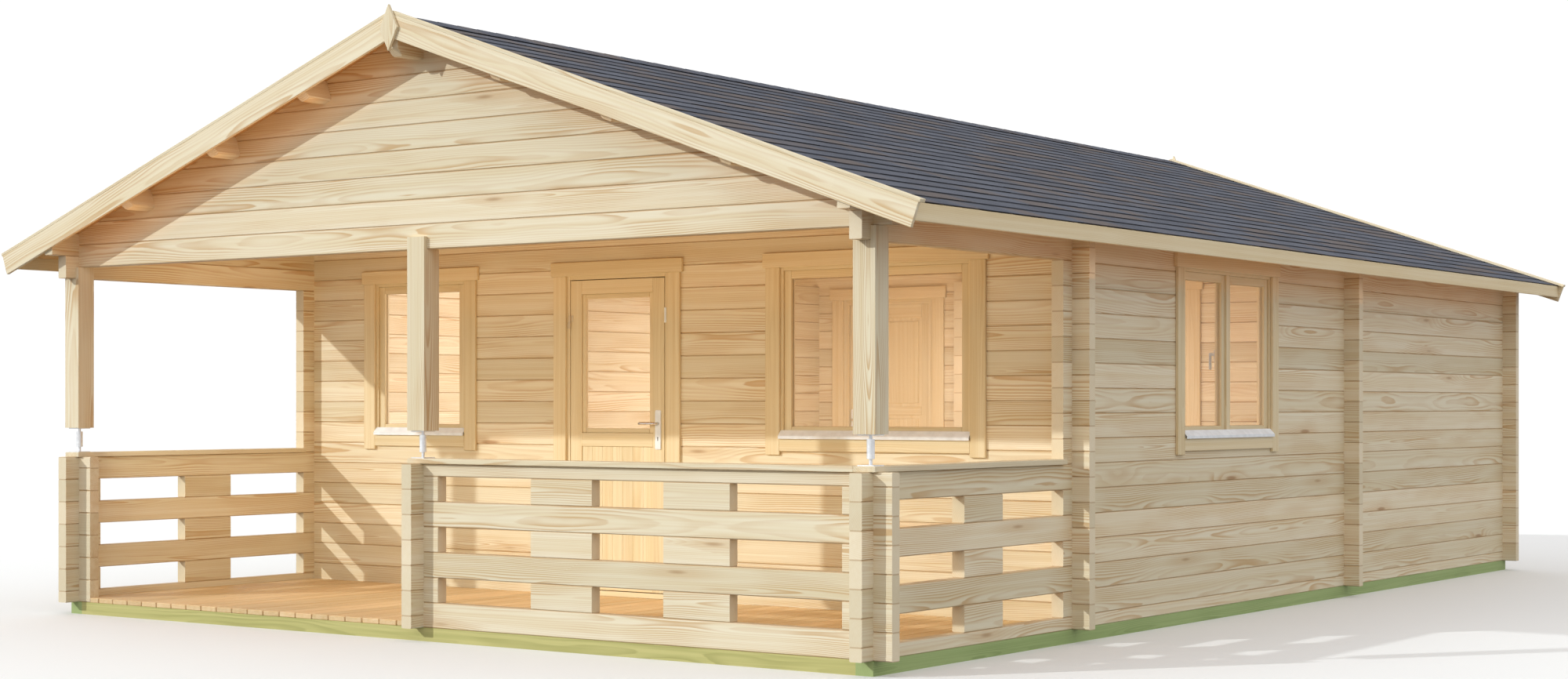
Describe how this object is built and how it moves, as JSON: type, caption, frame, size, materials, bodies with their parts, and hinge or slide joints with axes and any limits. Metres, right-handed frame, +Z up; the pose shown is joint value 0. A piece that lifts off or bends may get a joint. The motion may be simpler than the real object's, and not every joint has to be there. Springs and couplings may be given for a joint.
{
  "type": "log cabin",
  "caption": "Log cabin with notched corners, a roofed terrace with railings, glazed door, windows and a low pitched shingle roof.",
  "frame": {"origin": "on the ground under the middle of the building's box", "axes": "+X to the right seen from the terrace front, +Y to the rear along the ridge, +Z up"},
  "size_m": [6.36, 9.806, 3.3576],
  "materials": {
    "log_wood": "planed pale pine, untreated",
    "joinery_wood": "planed pine",
    "deck_wood": "planed pine boards",
    "roof_wood": "tongue and groove pine",
    "treated_wood": "pressure treated green",
    "shingle": "mineral granules on bitumen",
    "glass": "clear",
    "zinc_steel": "zinc plated",
    "steel": "satin",
    "white_metal": "white coated"
  },
  "bodies": {
    "cabin": {"side_sills": "treated_wood", "cross_sills": "treated_wood", "floor_joists": "treated_wood", "terrace_deck": "deck_wood", "room_floors": "deck_wood", "front_wall_left": "log_wood", "front_wall_right": "log_wood", "front_wall_gable": "log_wood", "left_wall": "log_wood", "right_wall": "log_wood", "rear_wall": "log_wood", "rear_gable": "log_wood", "partition_wall": "log_wood", "partition_gable": "log_wood", "left_room_wall": "log_wood", "rear_room_wall": "log_wood", "terrace_gable": "log_wood", "terrace_beams": "log_wood", "wall_plates": "log_wood", "front_railing": "log_wood", "side_railings": "log_wood", "entry_newels": "log_wood", "front_handrail": "log_wood", "side_handrails": "log_wood", "terrace_posts": "log_wood", "post_screws": "zinc_steel", "purlins": "log_wood", "left_roof_boards": "roof_wood", "right_roof_boards": "roof_wood", "left_shingles": "shingle", "right_shingles": "shingle", "ridge_cap": "shingle", "left_bargeboards": "log_wood", "right_bargeboards": "log_wood", "finials": "log_wood", "eave_fascias": "log_wood", "window_frames": "joinery_wood", "window_sashes": "joinery_wood", "window_panes": "glass", "window_casings": "joinery_wood", "window_sills": "white_metal", "door_frames": "joinery_wood", "door_casings": "joinery_wood", "hinge_pins": "white_metal"},
    "front_door": {"front_door_leaf": "joinery_wood", "front_door_pane": "glass", "front_door_hinges": "white_metal", "front_door_handle": "steel"},
    "left_inner_door": {"left_inner_leaf": "joinery_wood", "left_inner_hinges": "white_metal", "left_inner_handle": "steel"},
    "right_inner_door": {"right_inner_leaf": "joinery_wood", "right_inner_hinges": "white_metal", "right_inner_handle": "steel"}
  },
  "joints": [
    {"name": "front_door_swing", "type": "hinge", "parent": "cabin", "child": "front_door", "pos_m": [-0.5585, -2.647, 1], "axis": [0, 0, -1], "range_deg": [0, 100]},
    {"name": "left_inner_swing", "type": "hinge", "parent": "cabin", "child": "left_inner_door", "pos_m": [-0.2865, 1.36, 1], "axis": [0, 0, -1], "range_deg": [0, 90]},
    {"name": "right_inner_swing", "type": "hinge", "parent": "cabin", "child": "right_inner_door", "pos_m": [1.6905, 1.36, 1], "axis": [0, 0, -1], "range_deg": [0, 90]}
  ]
}
